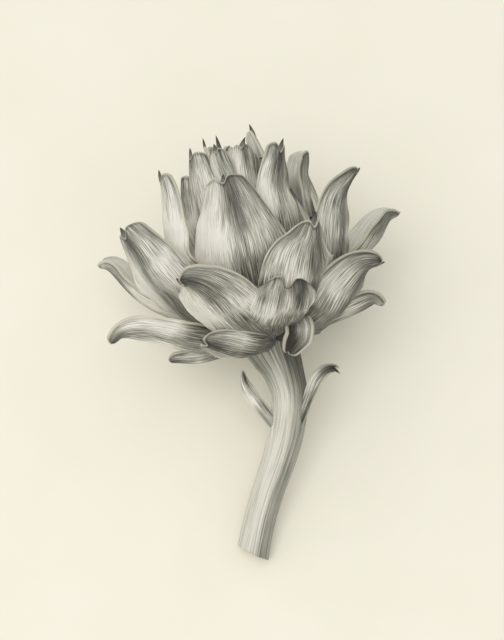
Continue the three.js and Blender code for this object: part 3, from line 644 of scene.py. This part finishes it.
def spine(name, length, at, shape):
    """The flat, tapered, slightly hooked spine of one bract."""
    s = np.array([1 - (shape["notch"] + SPINE_FOOT) / length])
    point, normal, along, across = (found[0] for found in blade_middle(shape, at, s, np.zeros(1)))
    height = shape["spine"] + SPINE_HIDDEN + NOTCH_HIDES * shape["notch"]
    up = np.linspace(0, 1, SPINE_RINGS)[:, None]
    bent = height * up ** 2
    middles = point + along * (height * up - SPINE_ROOT)
    middles = middles + (normal * SPINE_HOOK + across * shape["lean"]) * bent
    half_width = shape["girth"] * smooth_run(SPINE_WIDTHS, up[:, 0])
    half_depth = smooth_run(SPINE_DEPTHS, up[:, 0])
    turned = 2 * math.pi * np.arange(SPINE_SIDES) / SPINE_SIDES
    to_side = across * (half_width * np.cos(turned))[..., None]
    to_face = normal * (half_depth * np.sin(turned))[..., None]
    rings = middles[:, None] + to_side + to_face
    points = np.vstack([rings.reshape(-1, 3), middles[0], middles[-1] + along * 0.1])
    faces = [face[::-1] for face in tube_faces(SPINE_RINGS, SPINE_SIDES, len(points) - 2, len(points) - 1)]
    shares_up = np.append(np.repeat(up, SPINE_SIDES), [0, 1])
    grown_piece(name, points, faces, spine_horn, ["head"], {"up_spine": shares_up})


def bract(name, stations, **own):
    """One bract with its spine. A station is [azimuth, distance from the head's axis, height, width]."""
    shape = {**PLAIN, **own}
    stations = np.array(stations, float)
    points = outward(stations[:, 0]) * stations[:, 1:2] + UP_HEAD * stations[:, 2:3]

    def side_at(t, along):
        return sideways(smooth_run(stations[:, 0], t))

    length, at = midline(points, stations[:, 3], side_at, shape["roll"])
    blade(name, length, at, shape, (ROOT_FLESH, MIDDLE_FLESH, RIM_FLESH), bract_skin, "head")
    if shape["spine"] > 0:
        spine(name + "_spine", length, at, shape)


bract(
    "collar_left",
    [[-80, 16, -2, 10], [-84, 34, -3, 12], [-88, 46, -2, 10], [-90, 51, -2, 5]],
    roll=(20, 30), spine=0, age=0.02)

bract(
    "collar_front",
    [[-14, 14, -3, 16], [-26, 34, -3, 22], [-35, 44, 1, 18], [-41, 50, 5, 8]],
    cup=54, roll=(15, 30), age=0.08)

bract(
    "collar_right",
    [[73, 16, 2, 12], [72, 32, 5, 16], [71, 44, 8, 17], [74, 52, 10, 13], [78, 56, 7, 7]],
    roll=(-12, -20), rounding=3, notch=2, spine=2.5, age=0.03)

bract(
    "collar_curled",
    [
        [20, 14, 0, 14], [27, 26, 4, 16], [25, 29, 1, 16],
        [22, 28, -2, 15], [18, 25, -6, 10], [14, 22, -8, 5],
    ],
    cup=70, roll=(10, 25), rounding=3, notch=1, keel=0, spine=0, age=0.85)

# ---- The low bracts ----
# The lowest full ring. These bracts are broad and thick, grow out of the base's edge with thick roots, and
# have bent down and out as the head opened.

bract(
    "low_left",
    [[-72, 18, 0, 20], [-68, 44, 5, 28], [-69, 62, 12.5, 23], [-72, 72, 14.5, 16], [-75, 78, 11, 8]],
    cup=46, roll=(15, 28), rounding=3, spine=2.5, age=-0.18, root_shade=0.2)

bract(
    "low_middle",
    [[-22, 17, 0, 32], [-25, 38, 8, 42], [-27, 56, 23, 40], [-30, 64, 31, 26], [-34, 68, 34, 10]],
    rounding=3.5, girth=1.6, flare=2, flare_from=0.3, flare_to=0.85, age=-0.05, root_shade=0.08)

bract(
    "low_front",
    [[7, 18, 3, 36], [7, 36, 5, 40], [9, 48, 10, 38], [12, 53, 20, 34], [14, 52, 28, 26]],
    cup=68, rounding=9, notch=5.5, notch_width=0.17, groove=4, groove_from=0.1, keel=-2.5, spine=0,
    sun=-0.4, age=0.17, root_shade=0.12)

bract(
    "low_right",
    [[54, 18, 1, 20], [50, 38, 8, 31], [50, 50, 18, 31], [56, 58, 26, 20], [61, 65, 27, 9]],
    roll=(-8, -18), sun=0, age=0.3)

# ---- The spreading bracts ----
# The widest ring, which stands out all round the middle of the head. The head lies on two of these
# bracts, which its weight presses flat where they touch the table.

bract(
    "spread_far_left",
    [[-84, 20, 8, 18], [-90, 44, 19, 24], [-96, 61, 33, 27], [-99, 71, 47, 22], [-99, 78, 50, 9]],
    roll=(0, -8), rounding=3, spine=2.5, sun=-1.8, age=-0.05)

bract(
    "spread_left",
    [[-68, 20, 8, 22], [-63, 38, 17, 31], [-59, 56, 36, 39], [-61, 64, 54, 27], [-64, 66, 62, 16]],
    cup=45, roll=(8, 16), notch=4.5, spine=5, flare=5, flare_from=0.2, flare_to=0.75, lean=-0.1, girth=1.7,
    age=0.14)

bract(
    "spread_front",
    [[26, 19, 6, 30], [23, 38, 16, 40], [24, 51, 32, 39], [27, 54, 43, 23], [28, 57, 51, 9]],
    notch=3, groove=0.5, keel=2.5, spine=6, girth=1.3, sun=-0.3, age=0.17, root_shade=0.3)

bract(
    "spread_far_right",
    [[88, 19, 10, 20], [97, 42, 26, 28], [101, 58, 40, 32], [103, 66, 47, 26], [103, 74, 50, 9]],
    cup=62, roll=(3, 8), age=-0.12, sun=1.6)

bract(
    "resting_left",
    [
        [203, 20, 8, 18], [203, 42, 16, 32], [203, 59, 27, 33],
        [203, 68, 39, 26], [203, 70, 50, 17], [203, 68, 59, 9],
    ])

bract(
    "resting_right",
    [
        [157, 20, 8, 18], [157, 42, 16, 32], [157, 60, 27, 33],
        [157, 71, 39, 26], [157, 74, 50, 17], [157, 72, 59, 9],
    ])

# ---- The upright bracts ----
# The ring above, whose bracts still stand close to the bud, as each is held up by those below it. The
# broad one in front hides half of the bud.

bract(
    "upright_front",
    [
        [-16, 20, 14, 34], [-14, 36, 28, 50], [-12.5, 43, 44, 51],
        [-12.5, 44, 58, 40], [-13, 43, 69, 28.5], [-14, 42, 78, 18],
    ],
    cup=60, rounding=3, notch=3.5, groove=1.5, keel=1.5, lean=0.1, life=0.7, age=-0.01, root_shade=0.06)

bract(
    "upright_right",
    [
        [56, 20, 10, 18], [51, 40, 22, 23], [47, 50, 42, 24],
        [54, 51, 59, 17], [61, 54, 67, 10], [66, 58, 72, 5],
    ],
    roll=(-8, -16), sun=0.2, age=0.2)

bract(
    "upper_far_left",
    [[-88, 18, 34, 13], [-86, 28, 54, 16], [-86, 29, 69, 16], [-86, 27, 84, 12]],
    roll=(20, 20), rounding=5, notch=1, spine=0, age=0.18)

bract(
    "upper_left",
    [
        [-58, 20, 28, 16], [-60, 43, 42, 20], [-59, 45, 56, 22],
        [-57, 44, 68, 16], [-55, 45, 77, 14], [-55, 46, 85, 9],
    ],
    rounding=3, notch=4, spine=5, lean=-0.1, age=-0.12)

bract(
    "upper_middle",
    [[-48, 16, 36, 20], [-55, 25, 58, 27], [-57, 26, 73, 27], [-58, 26, 84, 22], [-60, 25, 93, 16]],
    cup=62, rounding=4, spine=5.5, lean=-0.2, age=0.12)

bract(
    "upper_right",
    [
        [27, 18, 24, 22], [25, 31, 42, 27], [25, 32, 59, 25],
        [27, 30, 70, 19], [34, 28, 80, 14], [41, 29, 90, 12],
    ],
    rounding=4, notch=4.5, spine=6, lean=0.2, age=-0.06, root_shade=0.1)

bract(
    "upper_far_right",
    [
        [101, 21, 33, 12], [100, 29, 50, 13], [101, 30, 59, 19], [102, 30, 67, 25],
        [101, 30, 75, 28], [101, 32, 81, 27], [100, 33, 87, 22],
    ],
    cup=75, roll=(0, 4), rounding=4, notch=4, notch_width=0.3, keel=0, spine=0, age=-0.25, sun=1.8)

# ---- The bud ----
# The youngest bracts, narrow and pressed together in the middle, where they still hide the flower. Their
# spines are among the longest.

bract(
    "bud_front",
    [[3, 14, 46, 13], [2, 22, 62, 16], [0, 22, 78, 14.5], [2, 20, 86, 13], [4, 18, 93, 10]],
    rounding=4, spine=5.5, lean=0.3, age=-0.15, root_shade=0.15)

bract(
    "bud_front_left",
    [[-22, 15, 55, 9], [-19, 23, 69, 12], [-19, 27, 79, 12], [-21, 28, 86, 11], [-23, 26, 92, 7]],
    spine=5, lean=-0.1)

bract(
    "bud_left",
    [[-107, 10, 52, 14], [-106, 15, 76, 22], [-113, 15, 88, 20], [-113, 16, 97, 13]],
    spine=6.5, age=0.06)

bract(
    "bud_back_left",
    [[-138, 6, 56, 12], [-140, 10, 79, 18], [-140, 12, 89, 18], [-138, 12, 96, 14]],
    spine=8)

bract(
    "bud_back_right",
    [[110, 8, 54, 12], [120, 12, 74, 14], [130, 12, 87, 11], [135, 11, 96, 8], [143, 10, 101, 4]],
    rounding=4, spine=5, lean=-0.2, age=0.12)

# ---- The bracts round the back ----
# The same rings go on round the back of the head, where the bracts are more alike. Like the others they
# have grown a little unevenly, so each one is a little off its place in its ring.


def repeatable(seed):
    """A repeatable run of numbers from -1 to 1."""
    while True:
        seed = (seed * 1664525 + 1013904223) % 4294967296
        yield 2 * seed / 4294967296 - 1


draws = repeatable(11)


def ring_of_bracts(name, azimuths, line, **own):
    """Bracts at several azimuths on one line, given as [distance from the head's axis, height, width]."""
    for number, azimuth in enumerate(azimuths, 1):
        turn = 3 * next(draws)
        spread = 1.5 * next(draws)
        lift = 1.5 * next(draws)
        twist = 6 * next(draws)
        stations = []
        for place, (radius, height, width) in enumerate(line):
            share = place / (len(line) - 1)
            stations.append([azimuth + turn, radius + spread * share, height + lift * share, width])
        bract(f"{name}_{number}", stations, roll=(0, twist), **own)


ring_of_bracts(
    "collar_back", [150, 175, 205], [[16, 0, 10], [29, -1, 16], [40, 0, 14], [46, -1, 6]], spine=0)
ring_of_bracts(
    "low_back", [128, 181, 234], [[19, 2, 16], [37, 8, 30], [49, 15, 28], [55, 21, 10]], spine=3)
ring_of_bracts(
    "spread_back", [124, 180, 226],
    [[23, 14, 18], [37, 30, 32], [45, 46, 32], [48, 57, 22], [50, 64, 11]], spine=3)
ring_of_bracts(
    "upper_back", [118, 148, 182, 219],
    [[23, 24, 18], [33, 44, 32], [34, 61, 30], [32, 75, 20], [33, 84, 13]], spine=3)
ring_of_bracts(
    "bud_back", [165, 205, 250], [[20, 40, 14], [26, 56, 25], [23, 70, 22], [21, 87, 12]], spine=3)
ring_of_bracts("heart", [35, 155, 275], [[4, 56, 10], [9, 74, 16], [8, 86, 13], [3, 94, 5]], spine=3)

# ---- The inner bracts ----
# Between the rings and under them more bracts lie pressed on the fleshy base. They close the gaps that the
# opened head would show round its sides and back. They end in a notch without a spine.

ring_of_bracts(
    "root_side", [98, 126, 238, 264], [[14, -1, 12], [26, 3, 20], [31, 9, 18], [33, 15, 8]], spine=0)
ring_of_bracts(
    "inner_low", [50, 80, 116, 158, 205, 245, 280, 305],
    [[18, 5, 16], [30, 16, 27], [32, 30, 27], [31, 42, 12]], spine=0)
ring_of_bracts(
    "inner_middle", [96, 140, 180, 230], [[18, 22, 16], [29, 32, 24], [29, 44, 24], [26, 56, 12]], spine=0)
ring_of_bracts(
    "inner_upper", [62, 92, 128, 235, 272],
    [[16, 32, 16], [26, 44, 25], [23, 58, 22], [19, 70, 10]], spine=0)
ring_of_bracts("inner_top", [75, 112, 245], [[8, 50, 12], [17, 62, 18], [14, 76, 15], [9, 86, 7]], spine=0)

# ---- The two leaves on the stalk ----
# Small, thin leaves that grow from the stalk's ribs below the head and have the skin of a bract. The left
# one is slender. The right one is older and bent over, and its tip has withered and torn.

LEAF_FLESH = (2.4, 1.6, 1)                    # its thickness at the root, in the middle and at the rim


def stalk_leaf(name, stations, **own):
    """A small leaf, from [x, y, z, width] at its root in the stalk to its tip."""
    shape = {**PLAIN, "rounding": 0, "notch": 0, **own}
    stations = np.array(stations, float)

    def side_at(t, along):
        return np.cross(along, FRONT)

    length, at = midline(stations[:, :3], stations[:, 3], side_at, shape["roll"])
    blade(name, length, at, shape, LEAF_FLESH, bract_skin, "stem")


stalk_leaf(
    "slender_leaf",
    [
        [3, -44, 0, 5], [-4.4, -34.5, 3, 6.5], [-9.4, -28, 4.5, 7],
        [-13, -22, 4, 5.5], [-14.2, -15.8, 2.5, 1.6],
    ],
    cup=35, age=-0.1)

stalk_leaf(
    "torn_leaf",
    [
        [12, -42, 1, 5], [18.6, -25.5, 5, 5.5], [21.4, -19, 6.5, 5.5],
        [25.4, -15.2, 7, 5], [29.8, -14.6, 6, 5], [32.4, -17, 4, 5],
    ],
    cup=40, torn=4, age=0.12)

# ---- The table, the light and the camera ----
# A plain cream table. One large soft lamp stands nearly in front of the plant, a little up and to the left,
# and a pale tent all round, brighter on that side, gives soft light everywhere. The camera looks down.

TABLE_REACH = 3                               # half the table's width, in metres
LAMP_PLACE, LIT_PLACE = (-380, 350, 2285), (-10, 10, 0)         # in the plant's millimetres
LAMP_WIDTH, LAMP_POWER = 1.5, 19              # in metres and watts
BRIGHT_SIDE = (-0.36, 0.18, 0.92)             # of the tent, as the plant's x, y and z
CAMERA_PLACE = (-9.6, 8.64, 900)              # in the plant's millimetres
SEEN_HEIGHT = 307.2                           # of the plane through the head's axis, in millimetres

# Matt paint, faintly clouded every 70 mm or so, as a painted board is.
table_paint, tree, output = new_material("matt_cream_table")
place = add_node(tree, "ShaderNodeTexCoord").outputs["Object"]
clouds = add_node(tree, "ShaderNodeTexNoise", {"Scale": 14, "Detail": 3}, {"Vector": place})
colour = add_node(
    tree, "ShaderNodeValToRGB", {"stops": [(0.3, "#efecde"), (0.7, "#f2efe2")]},
    {"Fac": clouds.outputs["Fac"]})
matt = add_node(
    tree, "ShaderNodeBsdfPrincipled", {"Roughness": 0.9}, {"Base Color": colour.outputs["Color"]})
tree.links.new(matt.outputs[0], output.inputs["Surface"])

corners = [(x * TABLE_REACH, y * TABLE_REACH, 0) for x, y in [(-1, -1), (1, -1), (1, 1), (-1, 1)]]
mesh = bpy.data.meshes.new("table")
mesh.from_pydata(corners, [], [(0, 1, 2, 3)])
mesh.materials.append(table_paint)
table = bpy.data.objects.new("table", mesh)
bpy.context.scene.collection.objects.link(table)

lamp = bpy.data.lights.new("key_lamp", "AREA")
lamp.size = LAMP_WIDTH
lamp.energy = LAMP_POWER
lamp.color = linear("#fffefc")[:3]
lamp_at, lit_at = plant @ (Vector(LAMP_PLACE) * MM), plant @ (Vector(LIT_PLACE) * MM)
aim = (lit_at - lamp_at).to_track_quat("-Z", "Y").to_matrix().to_4x4()
lamp_holder = bpy.data.objects.new("key_lamp", lamp)
lamp_holder.matrix_world = Matrix.Translation(lamp_at) @ aim
bpy.context.scene.collection.objects.link(lamp_holder)

tent = bpy.data.worlds.new("light_tent")
bpy.context.scene.world = tent
tent.use_nodes = True
tree = tent.node_tree
direction = add_node(tree, "ShaderNodeTexCoord").outputs["Generated"]
bright_side = (plant.to_3x3() @ Vector(BRIGHT_SIDE)).normalized()
facing = add_node(
    tree, "ShaderNodeVectorMath", {"operation": "DOT_PRODUCT", 1: bright_side}, {0: direction})
glow = add_node(
    tree, "ShaderNodeMapRange",
    {"interpolation_type": "SMOOTHSTEP", "From Min": -0.5, "From Max": 1, "To Min": 0.32, "To Max": 0.9},
    {"Value": facing.outputs["Value"]})
cloth = tree.nodes["Background"]
cloth.inputs["Color"].default_value = linear("#fdfbf6")
tree.links.new(glow.outputs[0], cloth.inputs["Strength"])

camera = bpy.data.cameras.new("camera")
camera.sensor_width = 36
camera.lens = camera.sensor_width * CAMERA_PLACE[2] / SEEN_HEIGHT
camera_holder = bpy.data.objects.new("camera", camera)
camera_holder.matrix_world = plant @ Matrix.Translation(Vector(CAMERA_PLACE) * MM)
bpy.context.scene.collection.objects.link(camera_holder)
bpy.context.scene.camera = camera_holder
bpy.context.scene.view_settings.view_transform = "Standard"
